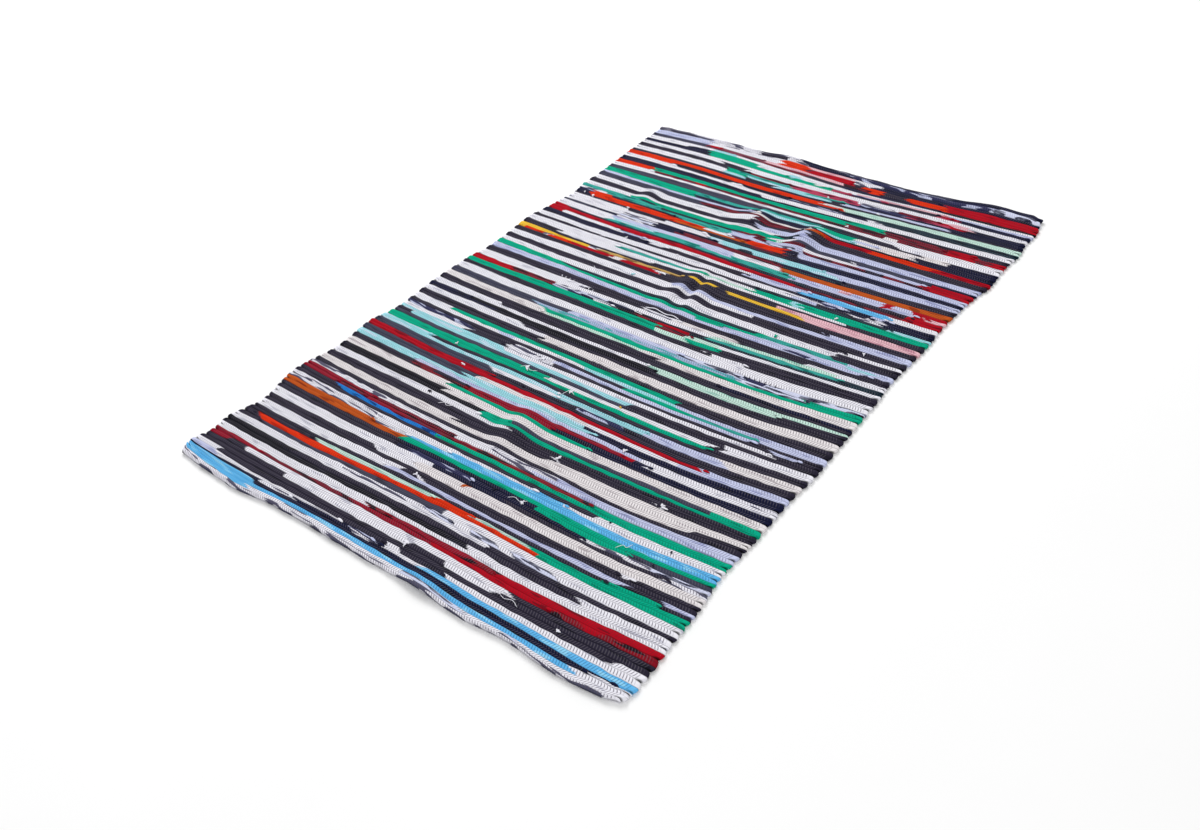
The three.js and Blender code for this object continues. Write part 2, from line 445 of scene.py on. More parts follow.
def band_points(place, opened):
    """Rows of points round the cloth: over the top, round the right edge, back below, round the left."""
    column = place[:, None]
    along = place / PICKS
    left = -WIDTH / 2 - eased(SIDES, 1, along) * MM + loop_inset(place, 0) + EDGE_ROUND
    right = WIDTH / 2 + eased(SIDES, 2, along) * MM - loop_inset(place, 1) - EDGE_ROUND
    left, right = left[:, None], right[:, None]
    share = np.linspace(0, 1, WARPS + 1)
    back_share = np.linspace(1, 0, UNDER_COLUMNS)
    turn = np.array(TURN)
    half = thickness(place) / 2
    open_share = opened[:, None]
    x_parts = [
        left + (right - left) * share,
        right + EDGE_ROUND * np.cos(turn) + 0 * column,
        left + (right - left) * back_share,
        left - EDGE_ROUND * np.cos(turn[::-1]) + 0 * column,
    ]
    under = CROWN / 2 * (1 - open_share) + UNDER_RIB * (1 - np.abs(np.sin(np.pi * column)))
    z_parts = [
        half * (1 + open_share),
        half[:, -1:] * (1 + open_share * np.sin(turn)),
        under + 0 * back_share,
        half[:, :1] * (1 + open_share * np.sin(turn[::-1])),
    ]
    x, z = np.hstack(x_parts), np.hstack(z_parts)
    x, z = np.hstack([x, x[:, :1]]), np.hstack([z, z[:, :1]])
    y = plan_y(place, x)
    z = z + lift(x, y)
    return np.stack([x - BOX_MIDDLE[0], y - BOX_MIDDLE[1], z], 2)


print("points round the cloth:", band_points(*row_places(0, 2)).shape[1])

# %% [markdown]
# The stripes are listed as a weaver's draft. Every yarn has a letter, and each line of the draft
# is one pick, from the front end to the back. A number after a letter says where that strip ends, as a share
# of the width, and the last strip runs on to the right edge. A line that starts with a number repeats.

# %% Yarns: colour, colour of its flecks, and the share of flecks
YARNS = {
    "W": ((234, 233, 241), (196, 196, 209), 0.12),
    "I": ((229, 224, 226), (192, 184, 188), 0.14),
    "C": ((40, 36, 52), (24, 22, 34), 0.2),
    "K": ((12, 12, 22), (28, 28, 42), 0.2),
    "N": ((17, 20, 50), (9, 11, 30), 0.2),
    "E": ((0, 164, 130), (0, 132, 104), 0.15),
    "T": ((58, 164, 154), (22, 112, 106), 0.25),
    "t": ((164, 176, 208), (84, 160, 170), 0.45),
    "M": ((196, 227, 215), (154, 200, 186), 0.2),
    "A": ((150, 211, 221), (192, 218, 234), 0.3),
    "S": ((92, 176, 230), (140, 206, 240), 0.25),
    "B": ((34, 118, 198), (20, 60, 120), 0.3),
    "L": ((195, 200, 230), (158, 164, 202), 0.25),
    "G": ((128, 126, 140), (66, 64, 80), 0.6),
    "H": ((58, 59, 78), (40, 40, 56), 0.2),
    "R": ((170, 5, 28), (120, 5, 24), 0.2),
    "r": ((138, 6, 34), (98, 6, 26), 0.2),
    "D": ((116, 18, 38), (46, 10, 24), 0.5),
    "O": ((214, 50, 16), (178, 36, 14), 0.2),
    "U": ((184, 82, 28), (140, 54, 20), 0.2),
    "Y": ((232, 188, 60), (200, 150, 40), 0.2),
    "P": ((226, 180, 190), (196, 140, 156), 0.3),
    "w": ((235, 234, 243), (78, 78, 100), 0.44),
    "d": ((128, 14, 30), (30, 14, 24), 0.45),
    "l": ((196, 202, 232), (40, 42, 76), 0.8),
    "n": ((22, 24, 52), (204, 208, 232), 0.6),
    "V": ((26, 46, 58), (14, 24, 34), 0.3),
    "J": ((128, 70, 84), (78, 34, 50), 0.3),
    "Q": ((180, 66, 94), (86, 26, 48), 0.4),
    "y": ((200, 164, 96), (120, 92, 60), 0.35),
}

# %% The draft
DRAFT = """
w
S.19 w.22 W.28 w.36 W.57 n.7 W.79 n.81 W
S.91 W
S.19 N.93 W
N.2 w.28 N.43 w.48 N.98 S
L.07 W.4 N.42 l.48 N.5 W.59 S
W.065 C.5 W.53 C.63 W
C.95 W
C.22 W.53 C.61 W.72 C
r.05 C.1 W.74 C
r.14 D.38 r.56 R.82 d.87 R.905 d
W.4 d.46 r.64 d.7 R
W
K.62 W
K.19 C.84 W
W.645 C
W.3 w.5 n.56 W.6 n.66 W.69 n.78 W
C.07 H.53 W
C.04 O.725 E
C.19 M.49 O.58 M.7 E
C.85 E.95 C
W.36 L.88 C.95 L
W.385 C.42 W.43 C
C.86 W.885 C
C.3 W.4 I
W.4 I.51 U.52 I
W.43 N.6 C.93 w
C.335 N.37 l.52 N.77 w.9 n
C.335 N.66 E.85 H
U.335 E
U.25 w.335 S
w.25 W.435 S
w.25 W.63 S.7 W
C.765 W
C.115 B.385 E
r.1 D.18 r.3 D.42 r.48 d.735 E
r.2 D.42 W.5 w.6 L
w.25 W.5 w.65 L
C
I.91 C
I
I.38 C.605 I
C.605 W.615 C.825 W.835 C
C
W.48 C
W.405 E
K.405 E.48 H.91 E
K.3 I
I
I.29 E.64 N
C.18 d.33 r.55 N
C.18 D.24 C.33 r.7 R.73 N.76 W
A.18 L.74 W.9 w
A.625 N
H.3 A.6 N
H.33 I.6 W.8 L
R.84 L
R.35 C
H.33 C.56 l.66 C
H.33 W.5 A.7 L.87 I
A.7 L.85 I
A.15 C
E.815 C
E.44 W.815 C.84 W
H.62 C.835 W
C.04 A.625 C
A.3 W.91 C
W.19 C.3 w.42 C.91 L.96 C
l.19 C.31 w.42 L.87 C
C.59 E.74 T.87 L
W.25 L.3 W.48 A.7 L
W.11 E.7 C
C
C.35 I
W.35 I
W.28 C
N.2 K.6 C
N.12 K.61 M.87 C
W.58 M
W.19 C
C.73 N
C.6 I
I.29 M.55 I
I.285 E
H.25 t.75 n.89 E
H.34 L.62 n.76 l.81 n
2 W
C.66 W.74 C
C
E.525 M.6 E.67 C
E.525 D.6 M.67 W
R.12 D.24 l.31 N.35 w.4 K.46 D.52 R.595 V
R.12 D.24 w.3 n.38 N.46 K.5 C.635 T.91 V
W.64 M.91 W
W.26 w.31 C.46 w.55 I.69 C.845 W
2 C
L.78 l.84 L.95 C
L.57 E.63 L.91 A.97 L
E.72 T.91 L
E.2 V.715 E.735 T.87 C
2 W.875 C
C.88 W
C
W.67 C
W.46 L
C.82 L
C
Y.02 O.08 w.1 O.16 R.28 I.31 R.4 W.42 C
Y.21 w.24 y.46 C.48 Y.55 C.575 Y.755 P
C.69 P
C.11 W.37 C
W.84 C
W.26 T.45 E.5 M.61 E.71 A.73 E
W.62 E.71 A.725 E
C.62 V.92 A
W.7 L.755 C.83 w.89 N
W.69 w.76 l.8 N.87 w.9 N
N.31 C.7 N.77 L.81 N.87 L.9 N
N.31 w.36 C.57 L.7 S.9 W
R.045 W.22 l.3 W.58 L.72 S.9 W
R.68 D.93 R
R.04 C.16 V.7 C.93 R
W.16 T.66 L.87 R.89 L.94 R.96 P
W.17 A.3 T.42 L.5 T.64 L.77 P.79 L.87 R.89 L.93 R
W.16 L.5 W.62 U
H.1 N.17 w.27 N.33 D.62 V.75 C
W.17 n.27 N.35 D.6 N.76 C
W.17 w.27 N.44 A.5 V.53 A.74 L
W.2 w.24 W.41 A.7 L
W.17 C.28 W.4 V.5 C.63 N
C.5 V.52 D.6 N
N.04 O.3 U.49 O.59 C.62 L
N.04 O.38 W.45 D.5 O.59 N.62 L
l.04 O.1 V.3 T.44 L.53 n.6 L.62 D.77 C.81 D.91 R
w.08 T.44 L.5 D.53 L.62 W.75 L.9 R
T.24 V.46 D.52 E.55 M.57 D.62 H.73 W.74 H.91 R
T.17 V.22 E.54 W.59 H.9 N
W.14 E.55 V.58 L
W.54 V.59 L
C.48 L.6 C
C.47 L.6 C
W.46 C
W.46 D.57 C.58 U.63 R.74 O.88 R
H.31 D.57 I.6 O.64 R.74 O.89 R
H.31 D.4 C.45 I.57 K.83 N
L.44 I.46 N.6 A.7 I.83 N
E.27 N.59 E.69 L.75 I.83 N
E.27 T.45 A.6 E.69 I.9 N
H.45 T.6 V.7 C.84 I.9 N
H.46 V.65 C.78 W
W
W.12 D.24 R.27 D.74 I.77 D.88 R.94 D.97 R
O.115 E.64 D.88 R.94 D.97 R
O.11 E.73 D.88 R.94 C
N.64 E.73 C
N.41 W
W
W.15 C.32 W.345 N.48 l.6 N.67 w.7 V
O.14 K.48 C.6 V
O.605 M
O.555 I.6 M
C
W.27 A.33 C.42 A.56 C.6 L.84 N
W.27 E.33 A.5 T.6 N
C.27 E.3 T.45 Q.63 l.75 Q.84 R.88 N
C.33 D.45 Q.62 w.72 D.82 R.84 P.885 N
W.24 C.32 W.84 P.88 W
W
N.19 E.54 Q.6 C.8 Q.84 N
N.19 E.42 A.44 E.5 I.52 E.54 Q.59 l.66 Q.68 C.8 R.84 N
W.13 N.19 E.33 W.42 A.45 W.6 P.82 L
W.19 A.25 W
H.165 J.33 D.46 C.56 N.8 K
H.165 R.2 J.33 P.55 D.62 O.65 C.71 O.8 R
L.16 W.37 O.44 N.45 R.57 C.6 O.65 C.71 O.8 R
L.16 W.37 O.45 N.46 R.57 w.62 N.79 R
L.16 w.37 O.44 P.57 w.64 N
G.1 w.3 C.38 w.42 N.55 l.9 n
G.1 w.3 G.36 w.42 N.5 G.62 H.8 N
"""


def read_draft(text):
    """One list of (end, yarn) for each pick."""
    picks = []
    for line in text.split("\n"):
        words = line.split()
        if not words:
            continue
        times = int(words.pop(0)) if words[0].isdigit() else 1
        strips = [(float(word[1:] or 1), word[0]) for word in words]
        picks += [strips] * times
    return picks


picks = read_draft(DRAFT)
print(len(picks), "picks,", sum(len(strips) for strips in picks), "strips")

# %% [markdown]
# Colours are written the way a screen shows them, from 0 to 255, but Blender's light works with linear
# values. Each corner of each face gets its strip's colour, so the stripes are sharp without any image.
# Strips end on a slant, as torn rags do where they overlap.

# %% Colours along the rows
SLANT = 0.03
MOST_STRIPS = 20


def linear(colour):
    """A screen colour as linear red, green and blue."""
    share = np.array(colour) / 255
    return np.where(share <= 0.04045, share / 12.92, ((share + 0.055) / 1.055) ** 2.4)


YARN_NAMES = sorted(YARNS)
RAG_COLOURS = np.array([[*linear(YARNS[name][0]), YARNS[name][2]] for name in YARN_NAMES])
FLECK_COLOURS = np.array([[*linear(YARNS[name][1]), 1.0] for name in YARN_NAMES])
slants = chance.uniform(-SLANT, SLANT, size=(PICKS, MOST_STRIPS))


def yarns_at(pick, across, step):
    """Number of the yarn at places across one pick."""
    strips = picks[pick]
    found = np.full(np.shape(across), YARN_NAMES.index(strips[-1][1]))
    for number in range(len(strips) - 2, -1, -1):
        end, yarn = strips[number]
        slant = slants[pick, number]
        found = np.where(across < end + slant * (step - 0.5), YARN_NAMES.index(yarn), found)
    return found


def paint(mesh, numbers):
    """Gives the corners of a mesh the colours of their yarns."""
    for title, colours in (("Rag", RAG_COLOURS), ("Fleck", FLECK_COLOURS)):
        layer = mesh.color_attributes.new(title, "FLOAT_COLOR", "CORNER")
        layer.data.foreach_set("color", colours[numbers].astype(np.float32).ravel())


print(len(YARN_NAMES), "yarns")

# %% [markdown]
# The cloth gets two maps. One counts its threads, for the pattern of the weave. The other has no overlaps, so
# that the finish can be baked into a picture when the rug is exported. An automatic unwrap would do for the
# second, but it would cut the ribs into islands.

# %% Maps of one band
TURN_WARPS = 0.4
MARGIN = 0.005
TOP_TALL = 0.42
UNDER_TALL = 0.16


def corners(values):
    """Values of a grid of points, as the four corners of each face."""
    return np.stack([values[:-1, :-1], values[:-1, 1:], values[1:, 1:], values[1:, :-1]], 2)


def weave_maps(place):
    """Count of warps and picks at each corner. A turn at an edge counts a little of a warp for each step."""
    warp = np.concatenate([
        np.arange(WARPS + 1),
        WARPS + TURN_WARPS * np.arange(1, len(TURN) + 1),
        np.linspace(WARPS, 0, UNDER_COLUMNS),
        -TURN_WARPS * np.arange(len(TURN), 0, -1),
        [0],
    ])
    return corners(warp + 0 * place[:, None]), corners(place[:, None] + 0 * warp)


def bake_maps(place, columns):
    """A map without overlaps: the two halves of the top above each other, and the underside over them."""
    share = corners(((place - place[0]) / (place[-1] - place[0]))[:, None] + np.zeros(columns))
    number = corners(np.arange(columns) + 0.0 * place[:, None])
    first = np.arange(columns - 1)[None, :, None]
    half = WARPS // 2
    start = np.where(first < half, 0, np.where(first < WARPS, half, WARPS))
    span = np.where(first < WARPS, half, columns - 1 - WARPS)
    level = np.where(first < half, 0, np.where(first < WARPS, TOP_TALL, 2 * TOP_TALL))
    tall = np.where(first < WARPS, TOP_TALL, UNDER_TALL)
    u = MARGIN + (1 - 2 * MARGIN) * (number - start) / span
    v = level + MARGIN + (tall - 2 * MARGIN) * share
    return u, v


print("the maps run over", WARPS, "warps and", UNDER_COLUMNS, "columns below")

# %% [markdown]
# The cloth is one closed shape. A flat grid of faces is rolled into a flattened tube: its columns run over
# the top and back below, and its two long edges are welded where they meet at the left edge. A flat sheet
# with a Solidify modifier would be simpler, but its underside would have all the ribs and twice the faces.
# The tube is cut along four valleys into five bands, so that each keeps a fine map when it is exported.

# %% One band of cloth
BANDS = (0, 36, 73, 109, 146, 182)
WELD = 0.01 * MM


def make_band(name, first, last):
    """A band of cloth from one pick to another, with its maps and colours."""
    place, opened = row_places(first, last)
    points = band_points(place, opened)
    rows, columns = points.shape[:2]
    bm = bmesh.new()
    bmesh.ops.create_grid(bm, x_segments=columns - 1, y_segments=rows - 1, size=1)
    mesh = bpy.data.meshes.new(name)
    bm.to_mesh(mesh)
    bm.free()
    mesh.vertices.foreach_set("co", points.astype(np.float32).ravel())
    for title, maps in (("Weave", weave_maps(place)), ("OFBake", bake_maps(place, columns))):
        layer = mesh.uv_layers.new(name=title)
        layer.uv.foreach_set("vector", np.stack(maps, -1).astype(np.float32).ravel())
    warp, at = weave_maps(place)
    middle = at.mean(2)
    yarn = np.zeros(warp.shape, int)
    for row in range(rows - 1):
        pick = min(int(middle[row, 0]), PICKS - 1)
        yarn[row] = yarns_at(pick, warp[row] / WARPS, at[row] - pick)
    paint(mesh, yarn)
    return mesh


def close_band(mesh):
    """Welds the long seam and closes the two ends. Gives the number of edges that stay open."""
    bm = bmesh.new()
    bm.from_mesh(mesh)
    rim = [v for v in bm.verts if v.is_boundary]
    bmesh.ops.remove_doubles(bm, verts=rim, dist=WELD)
    ends = [e for e in bm.edges if e.is_boundary]
    caps = bmesh.ops.holes_fill(bm, edges=ends, sides=0)["faces"]
    bmesh.ops.triangulate(bm, faces=caps, quad_method="BEAUTY", ngon_method="BEAUTY")
    for face in bm.faces:
        face.smooth = True
    open_edges = sum(not e.is_manifold for e in bm.edges)
    bm.to_mesh(mesh)
    bm.free()
    return open_edges


bands = []
for number, (first, last) in enumerate(zip(BANDS, BANDS[1:]), 1):
    mesh = make_band(f"cloth_{number}", first, last)
    open_edges = close_band(mesh)
    bands.append(add_object(mesh.name, mesh))
    mesh.calc_loop_triangles()
    print(mesh.name, len(mesh.loop_triangles), "triangles,", open_edges, "open edges")

# %% [markdown]
# Torn strips also end in the middle of the cloth. A small tongue of rag lies on the rib at many of those
# joins. At the larger ones a frayed tuft stands up, or a few threads come loose. Each is a strand: a grid of
# faces rolled round a line of points and welded. So it is closed, bends anywhere and needs only a few dozen
# faces. A hair system would give finer fluff, but hair doesn't come out as a closed shape.

# %% Strands of rag and thread
AROUND = 6
STRAND_WELD = 0.003 * MM
tear = np.random.default_rng(SEED + 1)
loose = bmesh.new()
yarn_layer = loose.faces.layers.int.new("yarn")


def over_cloth(x, y, above):
    """A point over the crowns of the cloth, from a place counted from the middle of the flat rug."""
    in_hem = abs(y) > LENGTH / 2 - HEM_PICKS * PICK
    height = float(lift(x, y)) + (HEM_CROWN if in_hem else CROWN) + above
    return Vector((x - BOX_MIDDLE[0], y - BOX_MIDDLE[1], height))


def strand(line, radii, flatness, yarn):
    """A closed strand round a line of points, coming to a point where its radius is nothing."""
    verts = bmesh.ops.create_grid(loose, x_segments=AROUND, y_segments=len(line) - 1, size=1)["verts"]
    for face in {face for vert in verts for face in vert.link_faces}:
        face[yarn_layer] = YARN_NAMES.index(yarn)
        face.smooth = True
    for row, (point, radius) in enumerate(zip(line, radii)):
        ahead = line[min(row + 1, len(line) - 1)] - line[max(row - 1, 0)]
        side = ahead.cross(Vector((0, 0, 1))).normalized()
        over = side.cross(ahead).normalized()
        for number in range(AROUND + 1):
            a = math.tau * number / AROUND
            spoke = side * math.cos(a) + over * (flatness * math.sin(a))
            verts[row * (AROUND + 1) + number].co = point + radius * spoke
    bmesh.ops.remove_doubles(loose, verts=verts, dist=STRAND_WELD)


print(AROUND, "sides to a strand")

# %% Torn ends where the strips meet: share along, share of the radius, height in millimetres
TONGUE = (
    (-0.5, 0, -0.4), (-0.3, 0.7, 0.1), (0, 1, 0.35), (0.3, 0.8, 0.3), (0.46, 0.45, 0.1), (0.52, 0, -0.3),
)
TORN_SHARE = 0.4
TORN_LONG = (9, 16)
TORN_RADIUS = (1.8, 2.9)
TORN_FLATNESS = 0.4
TORN_OFF = 2
TORN_TURN = 0.12
TORN_LEAN = -0.1


def torn_end(x, y, long, radius, turn, flatness, yarn, rise=1.0):
    """A tongue of rag lying on a rib, turned by an angle, with its heights times rise."""
    line = [
        over_cloth(x + math.cos(turn) * long * t, y + math.sin(turn) * long * t, rise * high * MM)
        for t, _, high in TONGUE
    ]
    strand(line, [radius * share for _, share, _ in TONGUE], flatness, yarn)


for pick, strips in enumerate(picks):
    for end, yarn in strips[:-1]:
        if tear.random() < TORN_SHARE and HEM_PICKS < pick < PICKS - HEM_PICKS:
            x = (end - 0.5) * WIDTH + tear.normal() * TORN_OFF * MM
            y = float(plan_y(np.array([pick + 0.5]), np.array([[x]]))[0, 0])
            turn = tear.normal() * TORN_TURN + TORN_LEAN
            long = tear.uniform(*TORN_LONG) * MM
            torn_end(x, y, long, tear.uniform(*TORN_RADIUS) * MM, turn, TORN_FLATNESS, yarn)
print(len(loose.faces), "faces of torn ends")

# %% Tufts: yarn, share across, share along, size in millimetres
TUFTS = """
W .61 .228 11, W .83 .227 10, W .695 .277 10, W .495 .32 8, W .51 .33 9, W .655 .842 9, W .43 .122 10
W .275 .305 9, W .39 .34 12, W .4 .365 12, W .215 .333 9, W .535 .037 9, W .855 .035 8, W .07 .738 9
W .18 .733 9, W .555 .905 8, W .69 .895 8, W .4 .657 8, W .26 .66 7, W .81 .628 8, W .91 .577 7
W .04 .742 8, A .365 .583 9, E .74 .556 9, C .28 .24 12, W .63 .152 8, C .57 .152 8, C .42 .31 9
C .783 .178 5, C .903 .1775 5, C .895 .153 5, Y .617 .3376 6, W .383 .367 8, W .408 .365 8
"""
TONGUES = (3, 6)
TUFT_FLATNESS = 0.6
TUFT_LONG = (0.35, 0.85)
TUFT_RADIUS = (0.11, 0.2)
TUFT_RISE = (2, 5)
TUFT_OFF = 0.32


def tuft(x, y, size, yarn):
    """A few tongues that stand out from one place on all sides."""
    for _ in range(tear.integers(*TONGUES)):
        turn = tear.uniform(0, math.tau)
        long = size * tear.uniform(*TUFT_LONG) * MM
        off_x, off_y = math.cos(turn) * long * TUFT_OFF, math.sin(turn) * long * TUFT_OFF
        radius = tear.uniform(*TUFT_RADIUS) * size * MM
        torn_end(x + off_x, y + off_y, long, radius, turn, TUFT_FLATNESS, yarn, tear.uniform(*TUFT_RISE))


for line in TUFTS.replace(",", "\n").split("\n"):
    if line:
        yarn, *numbers = line.split()
        across, along, size = (float(number) for number in numbers)
        tuft((across - 0.5) * WIDTH, along * CHARTED - LENGTH / 2, size, yarn)
print(len(loose.faces), "faces with the tufts")

# %% [markdown]
# Here and there a row of warp threads misses a rag, and short strokes of the next one show over it.

# %% Floats: yarn, share across and share along of the first and the last stroke, count
FLOATS = [("W", 0.236, 0.5315, 0.33, 0.5225, 9), ("C", 0.757, 0.4653, 0.821, 0.4664, 7)]
FLOAT_LONG = (6, 9)
FLOAT_RADIUS = 0.8 * MM
FLOAT_TURN = 1.9
FLOAT_SWING = 0.15
FLOAT_FLATNESS = 0.7
for yarn, first_x, first_y, last_x, last_y, count in FLOATS:
    for share in np.linspace(0, 1, count):
        x = (first_x + (last_x - first_x) * share - 0.5) * WIDTH
        y = (first_y + (last_y - first_y) * share) * CHARTED - LENGTH / 2
        long = tear.uniform(*FLOAT_LONG) * MM
        turn = FLOAT_TURN + tear.normal() * FLOAT_SWING
        torn_end(x, y, long, FLOAT_RADIUS, turn, FLOAT_FLATNESS, yarn)
print(len(loose.faces), "faces with the floats")

# %% Loose threads: yarn, radius in millimetres, then share across and share along of each bend
THREADS = """
W .45 .6 .149 .612 .154 .626 .15 .637 .157
W .45 .822 .152 .83 .16 .838 .157 .842 .166
W .45 .318 .229 .33 .235 .338 .23 .35 .236
W .45 .375 .338 .388 .345 .4 .337 .415 .343
W .45 .385 .36 .397 .369 .406 .358 .42 .366
W .45 .5 .322 .507 .333 .522 .328
W .45 .27 .575 .283 .568 .3 .571 .318 .562
W .45 .2 .641 .212 .648 .222 .639
W .8 .45 .5115 .461 .5095 .4735 .5097
W .9 .461 .5261 .473 .5269 .485 .53 .5155 .5229 .527 .529 .5496 .5237
W .45 .735 .04 .747 .037 .76 .041 .775 .036
W .45 .79 .03 .8 .026 .812 .03
"""
THREAD_POINTS = 15
THREAD_LOW = 0.2
THREAD_RISE = 1.2


def rounded(values):
    """Values at more places along a bent line, with its corners rounded."""
    values = np.interp(np.linspace(0, len(values) - 1, THREAD_POINTS), np.arange(len(values)), values)
    for _ in range(2):
        values[1:-1] = (values[:-2] + 2 * values[1:-1] + values[2:]) / 4
    return values


for line in THREADS.split("\n"):
    if line:
        yarn, radius, *numbers = line.split()
        bends = np.array(numbers, float).reshape(-1, 2)
        xs = rounded(bends[:, 0] - 0.5) * WIDTH
        ys = rounded(bends[:, 1]) * CHARTED - LENGTH / 2
        highs = THREAD_LOW + THREAD_RISE * np.sin(np.linspace(0, math.pi, THREAD_POINTS)) ** 2
        points = [over_cloth(x, y, high * MM) for x, y, high in zip(xs, ys, highs)]
        strand(points, [0, *[float(radius) * MM] * (THREAD_POINTS - 2), 0], 1.0, yarn)
print(len(loose.faces), "faces with the threads")

# %% All loose ends as one piece
bmesh.ops.recalc_face_normals(loose, faces=loose.faces)
open_edges = sum(not edge.is_manifold for edge in loose.edges)
loose_mesh = bpy.data.meshes.new("loose_ends")
loose.to_mesh(loose_mesh)
loose.free()
loose_ends = add_object(loose_mesh.name, loose_mesh)
yarn_numbers = np.zeros(len(loose_mesh.polygons), np.int32)
loose_mesh.attributes["yarn"].data.foreach_get("value", yarn_numbers)
corner_counts = np.zeros(len(yarn_numbers), np.int32)
loose_mesh.polygons.foreach_get("loop_total", corner_counts)
paint(loose_mesh, np.repeat(yarn_numbers, corner_counts))
print(len(loose_mesh.polygons), "faces of loose ends,", open_edges, "open edges")

# %% [markdown]
# Shader maths is easier to read as sums than as a tangle of nodes. A small class wraps a socket, and each
# operator adds the Math node that it stands for.

# %% A class for shader maths
class Amount:
    """A number in a material. Adding, multiplying and so on make the nodes."""

    def __init__(self, finish, socket):
        self.finish = finish
        self.socket = socket

    def maths(self, operation, *others):
        node = self.finish.node("Math", {"operation": operation}, [self, *others])
        return Amount(self.finish, node.outputs[0])

    def __add__(self, other):
        return self.maths("ADD", other)

    def __sub__(self, other):
        return self.maths("SUBTRACT", other)

    def __rsub__(self, other):
        node = self.finish.node("Math", {"operation": "SUBTRACT"}, [other, self])
        return Amount(self.finish, node.outputs[0])

    def __mul__(self, other):
        return self.maths("MULTIPLY", other)

    def between(self, low, high):
        """0 below low, 1 above high, and a smooth step between."""
        smooth = {"interpolation_type": "SMOOTHSTEP"}
        node = self.finish.node("MapRange", smooth, [self, low, high])
        return Amount(self.finish, node.outputs["Result"])

    __radd__ = __add__
    __rmul__ = __mul__


print("sums make nodes")

# %% A class for finishes
class Finish:
    """A material and the methods that add its nodes."""

    def __init__(self, name):
        self.material = bpy.data.materials.new(name)
        self.material.use_nodes = True
        self.tree = self.material.node_tree
        self.shader = self.tree.nodes["Principled BSDF"]

    def node(self, kind, settings=None, values=()):
        """Adds a shader node and its settings, then sets or links its inputs, by order or by name."""
        node = self.tree.nodes.new("ShaderNode" + kind)
        for setting, value in (settings or {}).items():
            setattr(node, setting, value)
        pairs = values.items() if isinstance(values, dict) else enumerate(values)
        for key, value in pairs:
            self.put(node.inputs[key], value)
        return node

    def put(self, socket, value):
        """Links a socket to a wrapped or bare output, or sets its value."""
        value = getattr(value, "socket", value)
        if isinstance(value, bpy.types.NodeSocket):
            self.tree.links.new(value, socket)
        else:
            socket.default_value = value

    def mix(self, share, one, other, blend="MIX"):
        """Mixes two colours."""
        node = self.node("Mix", {"data_type": "RGBA", "blend_type": blend})
        sockets = {socket.name: socket for socket in node.inputs if socket.enabled}
        self.put(sockets["Factor"], share)
        self.put(sockets["A"], one)
        self.put(sockets["B"], other)
        return next(socket for socket in node.outputs if socket.enabled)

    def noise(self, where, scale, detail=2.0, rough=0.5):
        """Noise from 0 to 1 at the places given."""
        inputs = {"Vector": where, "Scale": scale, "Detail": detail, "Roughness": rough}
        return Amount(self, self.node("TexNoise", None, inputs).outputs["Fac"])

    def stretched(self, where, scale):
        """Places stretched by a different amount along each axis."""
        return self.node("VectorMath", {"operation": "MULTIPLY"}, [where, scale]).outputs[0]

    def corner_colour(self, title):
        """A colour that the corners of the mesh carry, and the share in its fourth value."""
        node = self.node("Attribute", {"attribute_name": title})
        return node.outputs["Color"], Amount(self, node.outputs["Alpha"])

    def object_places(self):
        """Places on the object, in metres."""
        return self.node("TexCoord").outputs["Object"]

    def bump(self, strength, distance, height):
        """Raises the surface by a height, for its light and shade alone."""
        values = {"Strength": strength, "Distance": distance, "Height": height}
        self.put(self.shader.inputs["Normal"], self.node("Bump", None, values).outputs[0])

    def matt(self, sheen, specular):
        """Sets the two glosses that are the same all over."""
        self.shader.inputs["Sheen Weight"].default_value = sheen
        self.shader.inputs["Specular IOR Level"].default_value = specular


print("shader tools ready")

# %% [markdown]
# The finish reads the cloth's own map, which counts warps one way and picks the other. So its ticks fall
# exactly on the grooves in the mesh, and the streaks in each rag run along it. A tiled picture of a weave
# would be quicker, but it would repeat and wouldn't follow the ribs.

# %% The rag weave: what it reads
cloth = Finish("rag_weave")
rag_colour, fleck_share = cloth.corner_colour("Rag")
fleck_colour, _ = cloth.corner_colour("Fleck")
counts = cloth.node("UVMap", {"uv_map": "Weave"}).outputs[0]
split = cloth.node("SeparateXYZ", None, [counts])
warp_count = Amount(cloth, split.outputs[0])
pick_count = Amount(cloth, split.outputs[1])
in_cloth = cloth.object_places()
to_left, to_right = warp_count, WARPS - warp_count
crown = (pick_count.maths("FRACT") * math.pi).maths("SINE")
print("the weave counts", WARPS, "warps and", PICKS, "picks")

# %% [markdown]
# Each warp thread that passes over a rib leaves a fine tick in its groove. On a light rag the tick is painted
# shade of the groove, a darker tone of the rag, and on a dark rag it is the grey of the thread itself. The last
# warps at either edge have none, because there the rag turns round them.

# %% The rag weave: ticks
TICK_HALF = (0.09, 0.24)
TICK_CROWN = (0.2, 0.6)
TICK_EDGE = (1.0, 4.0)
GROOVE_SHADE_TONE = (0.14, 0.12, 0.15, 1)
THREAD_GREY = (0.18, 0.165, 0.19, 1)
DARK_RAG = (0.03, 0.1)
TICK_ON_DARK = 0.28
TICK_ON_LIGHT = 0.6
across_tick = ((warp_count + pick_count.maths("FLOOR")) * 0.5 + 0.5).maths("FRACT") - 0.5
on_groove = 1 - across_tick.maths("ABSOLUTE").between(*TICK_HALF)
tick = on_groove * crown.between(*TICK_CROWN)
tick = tick * to_left.between(*TICK_EDGE) * to_right.between(*TICK_EDGE)
bright = Amount(cloth, cloth.node("RGBToBW", None, [rag_colour]).outputs[0])
# Painted shade: on a light rag the tick is the rag's own colour darkened, as the shade in its groove.
rag_in_groove_shade = cloth.mix(1.0, rag_colour, GROOVE_SHADE_TONE, "MULTIPLY")
thread_and_groove_shade = cloth.mix(bright.between(*DARK_RAG), THREAD_GREY, rag_in_groove_shade)
tick_strength = tick * (bright * TICK_ON_LIGHT + TICK_ON_DARK)
print("one tick every", round(2 * WIDTH / WARPS / MM, 1), "mm")

